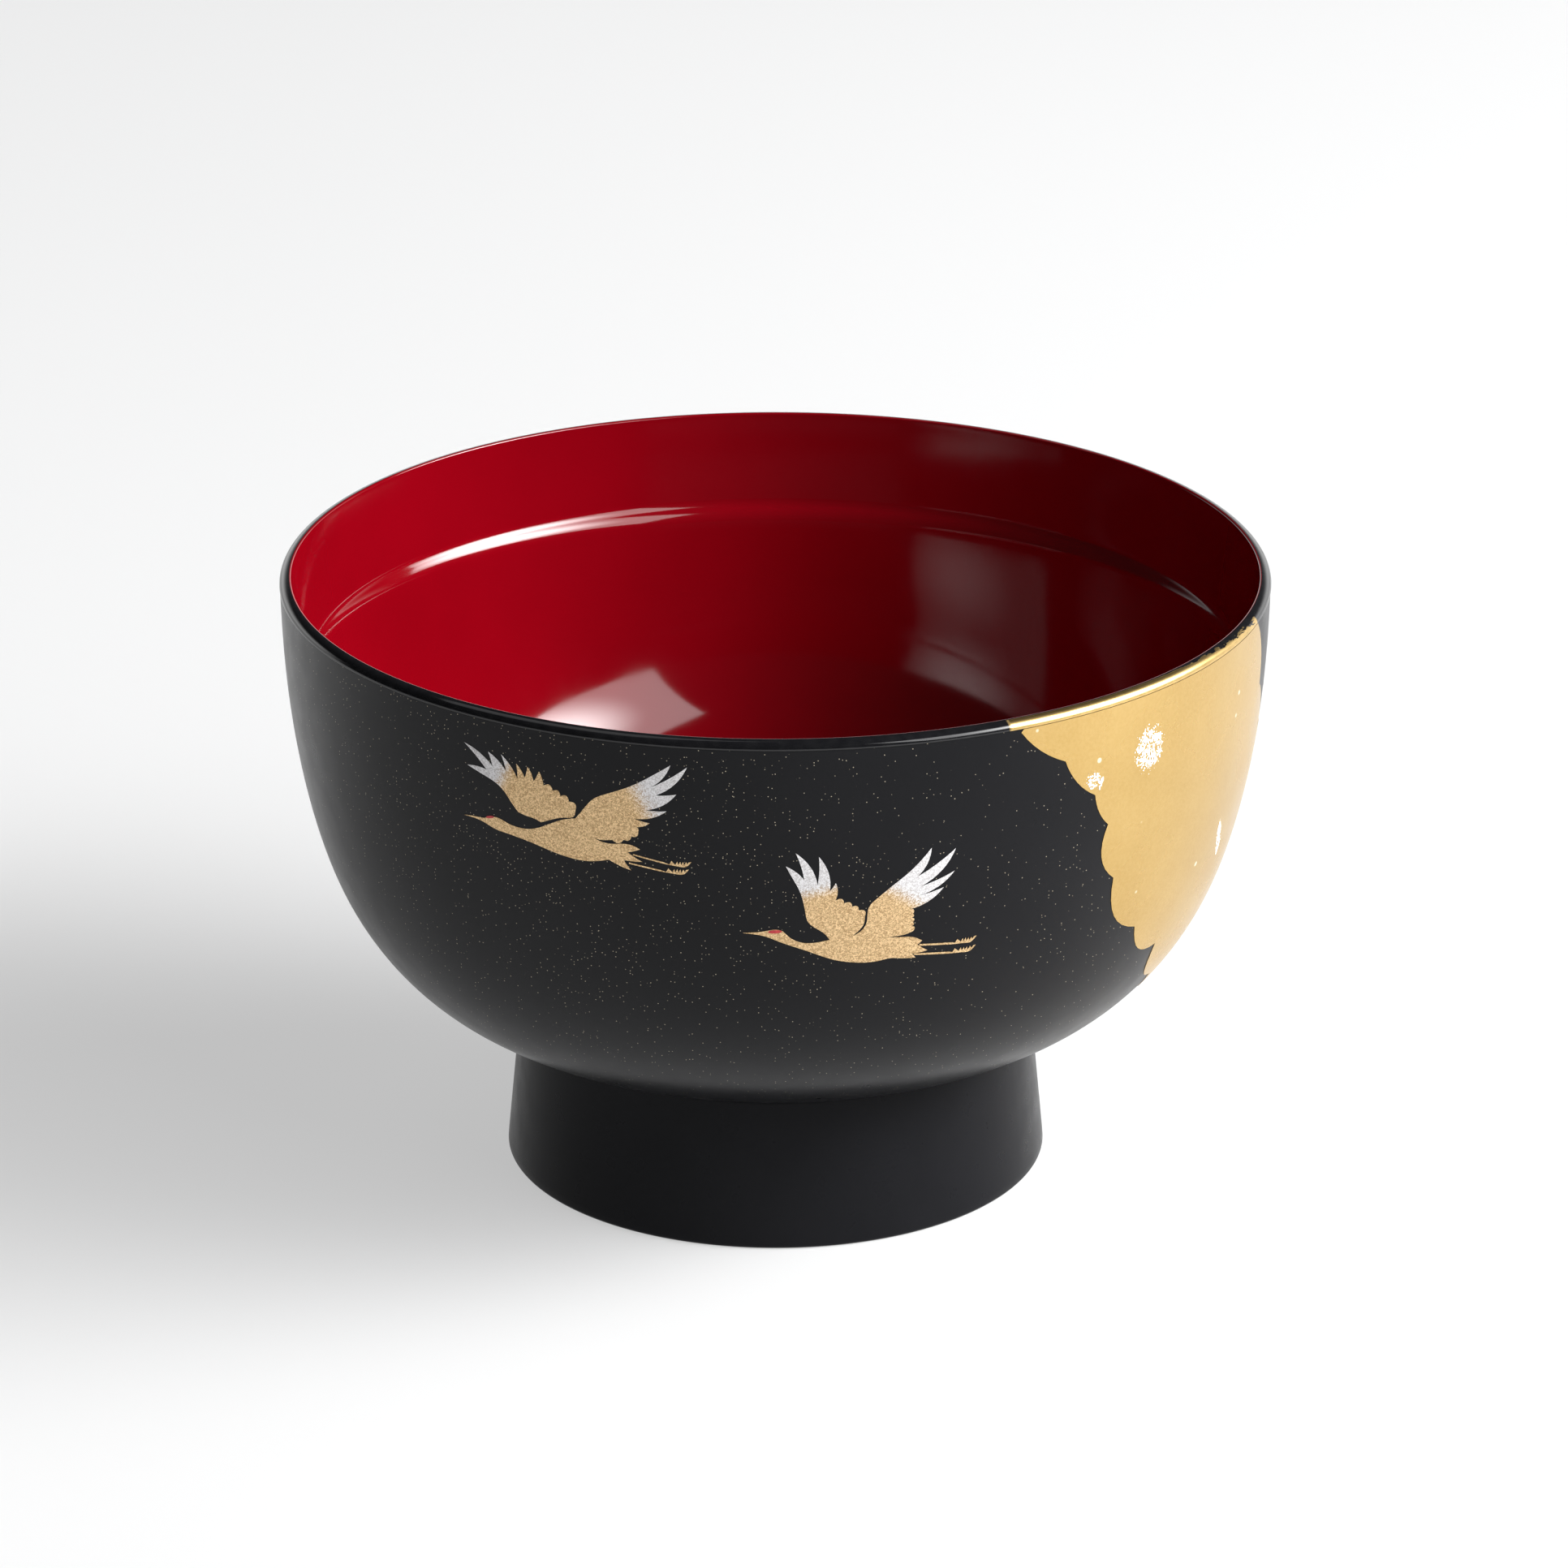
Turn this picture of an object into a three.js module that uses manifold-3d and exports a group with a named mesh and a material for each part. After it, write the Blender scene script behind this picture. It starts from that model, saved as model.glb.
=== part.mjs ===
// A footed lacquer soup bowl: a turned core with a glued-on foot, a black coat outside, a red coat
// inside, a gloss black lip, and leaf decoration laid on the outer wall: a scalloped gold cloud with
// pale flecks, and two flying cranes.
// Millimetres, +Z up, the origin on the standing plane at the centre of the foot. The cranes face -Y.

import * as THREE from 'three';
import { mergeVertices } from 'three/addons/utils/BufferGeometryUtils.js';
import Module from 'manifold-3d';

const wasm = await Module();
wasm.setup();

// Overall sizes
const RIM_DIAMETER = 115;
const BOWL_HEIGHT = 72.6;
const FOOT_DIAMETER = 64;
const FOOT_NECK_DIAMETER = 60.6;
const FOOT_HEIGHT = 18.2;

// Walls
const FLOOR_THICKNESS = 6;
const LIP_THICKNESS = 1.4;
const LIP_BAND = 1.0;
const LIP_ROUND_HEIGHT = 0.95;
const LIP_STANDS_PROUD = 0.06;
const LIP_TOP_THICKNESS = 0.5;
const FOOT_WALL = 3.2;
const FOOT_EDGE_RADIUS = 0.6;
const SPIGOT_DEPTH = 2.4;

// The soft step inside: its foot's distance below the rim and in from the outer wall's top, the lean of
// the walls that it joins and of its slope, in degrees, and the radii of its two bends
const STEP_BELOW_RIM = 13.25;
const STEP_INSET = 3.74;
const WALL_LEAN = 8;
const STEP_SLOPE = 38;
const STEP_SHOULDER_RADIUS = 3.1;
const STEP_FILLET_RADIUS = 2.3;

// Coats, leaf and clearances
const COAT = 0.25;
const GLUE = 0.2;
const GAP = 0.05;
const LEAF = 0.12;
const LEAF_GAP = 0.03;
const TOP_LEAF = 0.08;
const TIP_WIDTH = 0.1;

// A drawn leg: its thickness, then its parts as shares of its length, then how far toe and spur rise
const LEG_THICKNESS = 0.26;
const HEEL_SHARE = 0.78;
const TOE_SHARE = 0.12;
const SPUR_SHARE = 0.07;
const CLAW_RISE = 0.35;
const TOE_RISE = 0.2;
const SPUR_SLIT = 0.02;

// A drawn fleck's edge: how many points, and its slow and fast wavers as [share, turns]
const FLECK_POINTS = 14;
const SLOW_WAVER = [0.08, 5];
const FAST_WAVER = [0.05, 9];

// Fineness of the turned faces and of the drawn lines
const SEGMENTS = 40;
const WALL_STEPS = 10;
const INSIDE_STEPS = 8;
const ARC_STEPS = 2;
const CURVE_STEPS = 2;

const RIM_RADIUS = RIM_DIAMETER / 2;
const FOOT_RADIUS = FOOT_DIAMETER / 2;
const NECK_RADIUS = FOOT_NECK_DIAMETER / 2;
const LIP_INNER_RADIUS = RIM_RADIUS - LIP_THICKNESS;
const WALL_TOP_RADIUS = RIM_RADIUS - LIP_STANDS_PROUD;
const COATS_TOP = BOWL_HEIGHT - LIP_BAND - GAP;
const STEP_INNER_RADIUS = WALL_TOP_RADIUS - STEP_INSET;
const LIP_SLOT_TOP = BOWL_HEIGHT - LIP_TOP_THICKNESS;
const RED_EDGE = BOWL_HEIGHT - COAT;
const BORE_RADIUS = NECK_RADIUS - FOOT_WALL;
const SPIGOT_RADIUS = BORE_RADIUS - GLUE - 2 * GAP;

// Each wall is drawn once as a line of shares: 0 to 1 across, 0 to 1 up.
// Outside: from the foot's neck, along the round belly, to the lip.
const OUTSIDE_LINE = [
  [0, 0], [0.21, 0.04], [0.43, 0.105], [0.635, 0.21], [0.775, 0.33],
  [0.875, 0.475], [0.95, 0.66], [0.988, 0.84], [1, 1],
];
// Inside: from the middle of the floor to the foot of the step.
const INSIDE_LINE = [
  [0, 0], [0.33, 0.012], [0.56, 0.06], [0.7, 0.135], [0.81, 0.25],
  [0.89, 0.395], [0.945, 0.58], [0.98, 0.79], [1, 1],
];

// ---- lines ----

const toVectors = (points) => points.map(([x, y]) => new THREE.Vector2(x, y));

// A smooth line through points.
function smooth(points) {
  return new THREE.SplineCurve(toVectors(points)).getPoints(CURVE_STEPS * (points.length - 1));
}

// A line of shares stretched between two corners.
function stretched(line, start, end, steps) {
  const placed = line.map(([across, up]) => [
    start[0] + across * (end[0] - start[0]),
    start[1] + up * (end[1] - start[1]),
  ]);
  return new THREE.SplineCurve(toVectors(placed)).getPoints(steps);
}

// The same line moved sideways: a positive distance moves it to the right of its direction.
function offsetLine(points, distance) {
  return points.map((point, i) => {
    const before = points[Math.max(i - 1, 0)];
    const after = points[Math.min(i + 1, points.length - 1)];
    const along = after.clone().sub(before).normalize();
    return new THREE.Vector2(point.x + distance * along.y, point.y - distance * along.x);
  });
}

const at = (radius, height) => new THREE.Vector2(radius, height);

// An arc. With a rise of its own it is part of an ellipse.
function arc(centre, radius, fromDegrees, toDegrees, steps = ARC_STEPS, rise = radius) {
  const points = [];
  for (let i = 0; i <= steps; i += 1) {
    const angle = THREE.MathUtils.degToRad(fromDegrees + ((toDegrees - fromDegrees) * i) / steps);
    points.push(at(centre[0] + radius * Math.cos(angle), centre[1] + rise * Math.sin(angle)));
  }
  return points;
}

// An arc that carries on from a point, which it leaves out.
function bend(start, radius, fromDegrees, toDegrees) {
  const angle = THREE.MathUtils.degToRad(fromDegrees);
  const centre = [start.x - radius * Math.cos(angle), start.y - radius * Math.sin(angle)];
  return arc(centre, radius, fromDegrees, toDegrees).slice(1);
}

const reversed = (points) => [...points].reverse();

// ---- turned solids ----

// A solid turned about Z from a profile that runs counter-clockwise in (radius, height).
function turned(profile) {
  const onAxis = profile[0].x === 0;
  const closed = onAxis ? profile : [...profile, profile[0]];
  return new THREE.LatheGeometry(closed, SEGMENTS).rotateX(Math.PI / 2);
}

function toManifold(geometry) {
  const bare = geometry.clone();
  bare.deleteAttribute('normal');
  bare.deleteAttribute('uv');
  const merged = mergeVertices(bare);
  const mesh = new wasm.Mesh({
    numProp: 3,
    vertProperties: Float32Array.from(merged.attributes.position.array),
    triVerts: Uint32Array.from(merged.index.array),
  });
  return new wasm.Manifold(mesh);
}

function toGeometry(manifold) {
  const mesh = manifold.getMesh();
  const geometry = new THREE.BufferGeometry();
  geometry.setAttribute('position', new THREE.BufferAttribute(Float32Array.from(mesh.vertProperties), 3));
  geometry.setIndex(new THREE.BufferAttribute(Uint32Array.from(mesh.triVerts), 1));
  return geometry;
}

// ---- the walls ----

const outside = stretched(
  OUTSIDE_LINE, [NECK_RADIUS, FOOT_HEIGHT], [WALL_TOP_RADIUS, COATS_TOP], WALL_STEPS);
const outsideOfCore = offsetLine(outside, -(COAT + GAP));

const floorTop = FOOT_HEIGHT - SPIGOT_DEPTH + FLOOR_THICKNESS - COAT;
const stepFoot = at(STEP_INNER_RADIUS, BOWL_HEIGHT - STEP_BELOW_RIM);
const shoulder = bend(stepFoot, STEP_SHOULDER_RADIUS, 180 - WALL_LEAN, 180 - STEP_SLOPE);
const fillet = bend(shoulder.at(-1), STEP_FILLET_RADIUS, -STEP_SLOPE, -WALL_LEAN);
const inside = [
  ...stretched(INSIDE_LINE, [0, floorTop], [stepFoot.x, stepFoot.y], INSIDE_STEPS),
  ...shoulder,
  ...fillet,
  at(LIP_INNER_RADIUS, RED_EDGE),
];

// The inside line moved into the wood, with its first point kept on the axis.
function intoWood(distance) {
  const moved = offsetLine(inside, distance);
  moved[0] = at(0, floorTop - distance);
  return moved;
}

function bowlCore() {
  const wood = intoWood(COAT + GAP);
  const tongueTop = LIP_SLOT_TOP - GAP;
  const outer = outsideOfCore.at(-1);
  const inner = wood.at(-1);
  const neck = outsideOfCore[0];
  return turned([
    at(0, FOOT_HEIGHT - SPIGOT_DEPTH),
    at(SPIGOT_RADIUS, FOOT_HEIGHT - SPIGOT_DEPTH),
    at(SPIGOT_RADIUS, neck.y),
    ...outsideOfCore,
    at(outer.x, tongueTop),
    at(inner.x, tongueTop),
    ...reversed(wood.slice(0, -1)),
  ]);
}

function outerLacquer() {
  return turned([...outside, ...reversed(offsetLine(outside, -COAT))]);
}

// The red coat ends in a rounded edge at the crest of the lip.
function innerLacquer() {
  const back = intoWood(COAT);
  return turned([
    ...back.slice(0, -1),
    ...arc([back.at(-1).x, RED_EDGE], COAT, 90, 180),
    ...reversed(inside.slice(0, -1)),
  ]);
}

// The gloss band: it falls from the crest in a quarter round to the outer wall, and lies over the
// core's top edge.
function lipLacquer() {
  const bottom = BOWL_HEIGHT - LIP_BAND;
  const roundBase = BOWL_HEIGHT - LIP_ROUND_HEIGHT;
  const crest = intoWood(COAT + GAP).at(-1).x;
  const slotOuter = outsideOfCore.at(-1).x + GAP;
  return turned([
    at(RIM_RADIUS, bottom),
    ...arc([crest, roundBase], RIM_RADIUS - crest, 0, 90, 2 * ARC_STEPS, LIP_ROUND_HEIGHT),
    at(crest, LIP_SLOT_TOP),
    at(slotOuter, LIP_SLOT_TOP),
    at(slotOuter, bottom),
  ]);
}

// ---- the foot ----

const coreNeckHeight = outsideOfCore[0].y;

function footRing() {
  const footInner = FOOT_RADIUS - FOOT_WALL;
  const boreBottom = FOOT_HEIGHT - SPIGOT_DEPTH - COAT - GAP;
  const top = coreNeckHeight - GAP;
  const edge = FOOT_EDGE_RADIUS;
  return turned([
    ...arc([footInner + edge, edge], edge, 180, 270),
    ...arc([FOOT_RADIUS - edge, edge], edge, 270, 360),
    at(NECK_RADIUS - GAP, FOOT_HEIGHT),
    at(NECK_RADIUS - COAT, top),
    at(BORE_RADIUS, top),
    at(BORE_RADIUS, boreBottom),
  ]);
}

function footGlueLine() {
  const bottom = FOOT_HEIGHT - SPIGOT_DEPTH;
  const top = coreNeckHeight - GAP;
  const inner = SPIGOT_RADIUS + GAP;
  return turned([at(inner, bottom), at(inner + GLUE, bottom), at(inner + GLUE, top), at(inner, top)]);
}

function footWellLacquer() {
  const top = FOOT_HEIGHT - SPIGOT_DEPTH - GAP;
  const radius = BORE_RADIUS - GAP;
  return turned([at(0, top - COAT), at(radius, top - COAT), at(radius, top), at(0, top)]);
}

// ---- drawn outlines: millimetres across and up, counter-clockwise seen from outside ----

// A bowed line between two points: it swells outwards by a share of its length.
function bowed(start, end, bow) {
  const middle = [
    (start[0] + end[0]) / 2 + 2 * bow * (end[1] - start[1]),
    (start[1] + end[1]) / 2 - 2 * bow * (end[0] - start[0]),
  ];
  return new THREE.QuadraticBezierCurve(...toVectors([start, middle, end])).getPoints(CURVE_STEPS);
}

// Lobes, one between each two points.
function lobes(bow, points) {
  return points.slice(1).flatMap((point, i) => bowed(points[i], point, bow));
}

// Feathers: notch, tip, notch, tip... One edge of each is bowed, the other straight, and its tip blunt.
function feathers(bow, points) {
  return points.slice(1).flatMap((point, i) => {
    if (i % 2 === 0) return bowed(points[i], point, bow);
    const back = at(...point).sub(at(...points[i])).normalize();
    return [at(points[i][0] + TIP_WIDTH * back.y, points[i][1] - TIP_WIDTH * back.x), point];
  });
}

// One closed outline from its stretches, without the repeated joints or needless points.
function outlineOf(...stretches) {
  const points = stretches.flat().map((p) => (p.isVector2 ? p : at(...p)));
  const apart = (a, b) => a.distanceTo(b) > 0.02;
  return points.filter((point, i) => apart(point, points[(i + 1) % points.length]));
}

// A leg with its toes, as one thin outline from the tail to the claws.
function legOutline([x, y], length, drop) {
  const [heelX, heelY] = [x + length * HEEL_SHARE, y - drop];
  const toeX = heelX + length * TOE_SHARE;
  return outlineOf([
    [x, y - LEG_THICKNESS],
    [heelX, heelY - LEG_THICKNESS],
    [toeX, heelY - LEG_THICKNESS],
    [x + length, heelY + CLAW_RISE],
    [toeX, heelY + TOE_RISE],
    [heelX + length * SPUR_SHARE, heelY + CLAW_RISE],
    [heelX + length * SPUR_SLIT, heelY + SPUR_SLIT],
    [x, y],
  ]);
}

function crownOutline([x, y], half) {
  return outlineOf(lobes(0.16, [[x + half, y], [x - half, y], [x + half, y]]));
}

// The crane flying higher, on the left.
const leftCrane = { azimuth: -22, height: BOWL_HEIGHT - 16.6, girth: 56.2 };

const leftCraneBody = outlineOf(
  smooth([[-15.1, 3.4], [-12.2, 3.25], [-9.2, 2.45], [-5.8, 1.9], [-1.8, 1], [1.3, 0.95], [3.2, 1.4]]),
  feathers(0.03, [[3.2, 1.4], [5.7, 0.4], [4.9, 1.6], [7, 1.6], [5.4, 2.6], [6.8, 3.1]]),
  smooth([[6.8, 3.1], [5.9, 3.5], [3.3, 3.4], [1.2, 3.95]]),
  smooth([[1.2, 3.95], [3.7, 3.95]]),
  lobes(0.22, [[3.7, 3.95], [5, 4.1], [5.9, 4.6], [6.7, 5.2], [6.3, 5.8]]),
  feathers(0.1, [[6.3, 5.8], [8, 6.4], [6.2, 6.8], [9.9, 8], [7.6, 7.95], [11, 10.1], [8.7, 9.8]]),
  feathers(0.1, [[8.7, 9.8], [12.2, 13.4], [7.8, 10.5], [10.4, 13.5]]),
  smooth([[10.4, 13.5], [6.1, 10.7], [3.5, 9.5], [1.6, 8.5], [0.5, 7.2], [-0.5, 5.9]]),
  smooth([[-0.5, 5.9], [-1.7, 5.6], [-3.1, 5], [-4.8, 4.1], [-6.2, 3.6], [-8.9, 3.7]]),
  smooth([[-8.9, 3.7], [-11.3, 4], [-12.1, 3.65], [-15.1, 3.5]]),
);

const leftCraneFarWing = outlineOf(
  smooth([[-4.7, 4.7], [-3.1, 5.4], [-1.7, 5.8], [-0.7, 6.1], [-0.45, 6.9]]),
  lobes(0.22, [[-0.45, 6.9], [-1.2, 7.8], [-2.2, 8.3], [-3.1, 8.8], [-4.2, 9.2]]),
  feathers(0.07, [[-4.2, 9.2], [-4.7, 10.8], [-5.4, 9.5], [-6.1, 11.1], [-6.5, 9.7]]),
  feathers(0.07, [[-6.5, 9.7], [-7.5, 11.2], [-7.4, 9.4], [-9.4, 11.9], [-8.8, 10]]),
  feathers(0.07, [[-8.8, 10], [-11.1, 11.9], [-10.6, 10.3], [-14.3, 12.3], [-11.4, 9.7]]),
  bowed([-11.4, 9.7], [-14, 9.7], 0.05),
  smooth([[-14, 9.7], [-10.5, 8.5], [-8.9, 7.2], [-7.5, 5.4]]),
  smooth([[-7.5, 5.4], [-5.5, 5], [-4.7, 4.7]]),
);

// The crane flying lower, on the right, with both wings joined to its body.
const rightCrane = { azimuth: 10, height: BOWL_HEIGHT - 29.6, girth: 53.6 };

const rightCraneBody = outlineOf(
  smooth([[-12.8, 6.4], [-10.3, 5.95], [-8.1, 4.95], [-5.6, 3.9], [-2.8, 2.7], [0.8, 2.15], [4.5, 2.3]]),
  feathers(0.02, [[4.5, 2.3], [6.1, 2.2], [5.6, 2.8], [7.4, 3], [6.2, 3.9], [6.7, 4.35]]),
  smooth([[6.7, 4.35], [4.3, 5.1], [2.9, 5.2]]),
  smooth([[2.9, 5.3], [4.1, 5.35], [5.6, 5.75]]),
  lobes(0.3, [[5.6, 5.75], [5.4, 6.4], [5.6, 6.9], [5.35, 7.5], [5.55, 8], [5.1, 8.6]]),
  feathers(0.1, [[5.1, 8.6], [8.7, 10.9], [5.9, 10.2], [9.8, 12.8], [6.15, 11.35]]),
  feathers(0.1, [[6.15, 11.35], [9.8, 15.6], [5.7, 12.6], [7.1, 16]]),
  smooth([[7.1, 16], [4.7, 13.2], [1.5, 10.4], [0.5, 8.9], [0.45, 7.6], [-0.9, 5.7]]),
  smooth([[-0.9, 5.7], [-0.1, 7], [0.2, 8.2]]),
  lobes(0.22, [[0.2, 8.2], [-0.45, 9], [-1.2, 9.5], [-2.05, 9.95], [-3, 10.4]]),
  feathers(0.1, [[-3, 10.4], [-3, 12.6], [-3.6, 11.6], [-4.8, 15.9], [-4.9, 12.4]]),
  feathers(0.1, [[-4.9, 12.4], [-7.2, 16.4], [-6.3, 13.1]]),
  bowed([-6.3, 13.1], [-8.2, 14.8], 0.06),
  smooth([[-8.2, 14.8], [-6.8, 11.8], [-6.15, 9], [-5.2, 7.1], [-3.5, 5.4]]),
  smooth([[-3.5, 5.4], [-5.7, 5.05], [-7.5, 5.6], [-8.5, 6.6], [-10, 6.75], [-12.8, 6.5]]),
);

// The gold cloud, falling from the rim round the right-hand side. Its lobes are its edge.
const cloud = { azimuth: 0, height: BOWL_HEIGHT, girth: 57.3 };

const goldCloud = outlineOf(
  lobes(0.07, [[27, 0], [34, -6], [38.4, -11.1], [40.8, -15.3]]),
  lobes(0.2, [[40.8, -15.3], [42.9, -22.6], [49.3, -30.9], [56.6, -35.6], [63, -42.1], [73, -45.1]]),
  lobes(0.2, [[73, -45.1], [84, -46.1], [95, -43.1], [101, -35.6], [97.5, -27.6], [89, -22.1], [81, -16.6]]),
  lobes(0.12, [[81, -16.6], [76.5, -9.6], [73, 0]]),
  [[73, 3.4], [27, 3.4]],
);

// A fleck of pale leaf: an oval with a wavering edge.
function fleckOutline([x, y], halfWidth, halfHeight, lean) {
  const points = [];
  for (let i = 0; i < FLECK_POINTS; i += 1) {
    const angle = (2 * Math.PI * i) / FLECK_POINTS;
    const slow = SLOW_WAVER[0] * Math.sin(SLOW_WAVER[1] * angle);
    const fast = FAST_WAVER[0] * Math.cos(FAST_WAVER[1] * angle);
    const reach = 1 + slow + fast;
    const up = halfHeight * reach * Math.sin(angle);
    points.push([x + halfWidth * reach * Math.cos(angle) + lean * up, y + up]);
  }
  return outlineOf(points);
}

// ---- leaf laid on the wall ----

// The wedge's rings of points, as shares of the rim's radius. The leaf lies between the middle ones.
const WEDGE_RINGS = [0.35, 0.75, 0.89, 1.03, 1.6];

// The wedge of space behind and in front of an outline drawn on the wall.
function wedge(outline, place) {
  const count = outline.length;
  const positions = [];
  for (const share of WEDGE_RINGS) {
    const radius = share * RIM_RADIUS;
    for (const point of outline) {
      const angle = THREE.MathUtils.degToRad(place.azimuth) + point.x / place.girth;
      positions.push(radius * Math.sin(angle), -radius * Math.cos(angle), place.height + point.y);
    }
  }
  const last = count * (WEDGE_RINGS.length - 1);
  const faces = THREE.ShapeUtils.triangulateShape(outline, []);
  const index = faces.flatMap(([a, b, c]) => [a, c, b, a + last, b + last, c + last]);
  for (let ring = 0; ring < last; ring += count) {
    for (let i = 0; i < count; i += 1) {
      const here = ring + i;
      const next = ring + ((i + 1) % count);
      index.push(here, next, next + count, here, next + count, here + count);
    }
  }
  const geometry = new THREE.BufferGeometry();
  geometry.setAttribute('position', new THREE.Float32BufferAttribute(positions, 3));
  geometry.setIndex(index);
  return toManifold(geometry);
}

// A thin layer over the whole outer wall, from which the leaf is cut.
function wallLayer(below, above) {
  return toManifold(turned([...offsetLine(outside, above), ...reversed(offsetLine(outside, below))]));
}

const firstLayer = wallLayer(LEAF_GAP, LEAF_GAP + LEAF);
const secondBelow = 2 * LEAF_GAP + LEAF;
const secondLayer = wallLayer(secondBelow, secondBelow + TOP_LEAF);

const leaf = (layer, outline, place) => toGeometry(layer.intersect(wedge(outline, place)));

// ---- the assembly ----

const blackSatin = { color: 0x17171a, roughness: 0.38, metalness: 0 };
const blackGloss = { color: 0x0b0b0d, roughness: 0.1, metalness: 0 };
const redGloss = { color: 0x8e0012, roughness: 0.12, metalness: 0 };
const turnedWood = { color: 0x8a6844, roughness: 0.75, metalness: 0 };
const glue = { color: 0x5a4028, roughness: 0.5, metalness: 0 };
const goldLeaf = { color: 0xf0c878, roughness: 0.35, metalness: 0.7 };
const goldPowder = { color: 0xd9b878, roughness: 0.5, metalness: 0.5 };
const paleLeaf = { color: 0xf4f0e4, roughness: 0.45, metalness: 0.3 };
const redPaint = { color: 0xb02030, roughness: 0.4, metalness: 0 };

const bowl = new THREE.Group();

function add(name, geometry, finish) {
  const mesh = new THREE.Mesh(geometry, new THREE.MeshStandardMaterial(finish));
  mesh.name = name;
  bowl.add(mesh);
}

add('bowl_core', bowlCore(), turnedWood);
add('outer_lacquer', outerLacquer(), blackSatin);
add('inner_lacquer', innerLacquer(), redGloss);
add('lip_lacquer', lipLacquer(), blackGloss);
add('foot_ring', footRing(), blackSatin);
add('foot_glue_line', footGlueLine(), glue);
add('foot_well_lacquer', footWellLacquer(), blackSatin);

add('gold_cloud', leaf(firstLayer, goldCloud, cloud), goldLeaf);
add('pale_fleck_oval', leaf(secondLayer, fleckOutline([46.7, -7.6], 2.6, 2.9, 0), cloud), paleLeaf);
add('pale_fleck_corner', leaf(secondLayer, fleckOutline([38, -9.4], 1.1, 1.2, -0.3), cloud), paleLeaf);
add('pale_fleck_streak', leaf(secondLayer, fleckOutline([67.5, -25.6], 0.8, 3.2, -0.5), cloud), paleLeaf);

add('left_crane_body', leaf(firstLayer, leftCraneBody, leftCrane), goldPowder);
add('left_crane_far_wing', leaf(firstLayer, leftCraneFarWing, leftCrane), goldPowder);
add('left_crane_crown', leaf(secondLayer, crownOutline([-11.3, 3.98], 0.55), leftCrane), redPaint);
add('left_crane_leg_upper', leaf(firstLayer, legOutline([6.6, 2.3], 5.9, 0.8), leftCrane), goldPowder);
add('left_crane_leg_lower', leaf(firstLayer, legOutline([5.9, 1.3], 6, 0.6), leftCrane), goldPowder);

add('right_crane_body', leaf(firstLayer, rightCraneBody, rightCrane), goldPowder);
add('right_crane_crown', leaf(secondLayer, crownOutline([-9.35, 6.6], 0.72), rightCrane), redPaint);
add('right_crane_leg_upper', leaf(firstLayer, legOutline([6.9, 3.9], 6.3, 0.3), rightCrane), goldPowder);
add('right_crane_leg_lower', leaf(firstLayer, legOutline([6.1, 2.7], 7.2, 0.4), rightCrane), goldPowder);

export default bowl;
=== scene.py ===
"""The looks of a footed lacquer soup bowl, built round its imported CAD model.

Lengths in the shape code are millimetres, as in the CAD; a mesh is scaled to metres when it is made.
The bowl turns about Z and the cranes face -Y.
"""

import math

import bpy
import numpy as np
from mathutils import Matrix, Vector, noise
from mathutils.geometry import delaunay_2d_cdt


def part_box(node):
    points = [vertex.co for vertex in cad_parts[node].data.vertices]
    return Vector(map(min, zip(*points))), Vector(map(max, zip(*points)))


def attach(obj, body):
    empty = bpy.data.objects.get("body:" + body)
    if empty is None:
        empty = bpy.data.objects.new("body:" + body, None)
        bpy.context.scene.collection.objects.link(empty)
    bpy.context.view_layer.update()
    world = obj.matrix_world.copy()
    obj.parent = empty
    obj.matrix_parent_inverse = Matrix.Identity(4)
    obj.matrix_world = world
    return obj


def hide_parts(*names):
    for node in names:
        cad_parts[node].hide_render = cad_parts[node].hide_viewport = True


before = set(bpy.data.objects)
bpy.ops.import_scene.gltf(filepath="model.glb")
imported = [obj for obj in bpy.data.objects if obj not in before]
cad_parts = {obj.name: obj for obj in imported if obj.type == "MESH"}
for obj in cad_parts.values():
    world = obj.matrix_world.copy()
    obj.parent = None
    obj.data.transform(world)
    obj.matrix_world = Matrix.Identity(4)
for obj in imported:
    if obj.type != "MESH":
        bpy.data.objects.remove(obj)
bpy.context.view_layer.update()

MM = 0.001


def node_box(name):
    """The lowest and highest corner of a CAD node, in millimetres."""
    low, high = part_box(name)
    return low / MM, high / MM


# Sizes that the CAD nodes give
LIP_LOW, LIP_HIGH = node_box("lip_lacquer")
WALL_LOW, WALL_HIGH = node_box("outer_lacquer")
RED_LOW, _ = node_box("inner_lacquer")
_, FOOT_HIGH = node_box("foot_ring")
WELL_LOW, WELL_HIGH = node_box("foot_well_lacquer")
RIM_RADIUS = LIP_HIGH.x
BOWL_HEIGHT = LIP_HIGH.z
WALL_TOP_RADIUS = WALL_HIGH.x
WALL_TOP = WALL_HIGH.z
FOOT_HEIGHT = WALL_LOW.z
FOOT_RADIUS = FOOT_HIGH.x
WELL_RADIUS = WELL_HIGH.x

# Sizes inside those boxes
NECK_RADIUS = 30.3
COAT = 0.25
GAP = 0.05
GLUE = 0.2
LIP_THICKNESS = 1.4
LIP_TOP_THICKNESS = 0.5
LIP_ROUND_HEIGHT = 0.95
LIP_EDGE_RADIUS = 0.04
SEAM = 0.01
STEP_FOOT = (WALL_TOP_RADIUS - 3.74, BOWL_HEIGHT - 13.25)
WALL_LEAN = 8
STEP_SLOPE = 38
SHOULDER_RADIUS = 3.1
FILLET_RADIUS = 2.3
RED_EDGE = BOWL_HEIGHT - COAT
FLOOR_TOP = RED_LOW.z + COAT
FOOT_WALL = 3.2
FOOT_EDGE_RADIUS = 0.6
SPIGOT_BOTTOM = WELL_HIGH.z + GAP
BORE_RADIUS = WELL_RADIUS + GAP
SPIGOT_RADIUS = BORE_RADIUS - GLUE - 2 * GAP
LIP_INNER_RADIUS = RIM_RADIUS - LIP_THICKNESS

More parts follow.
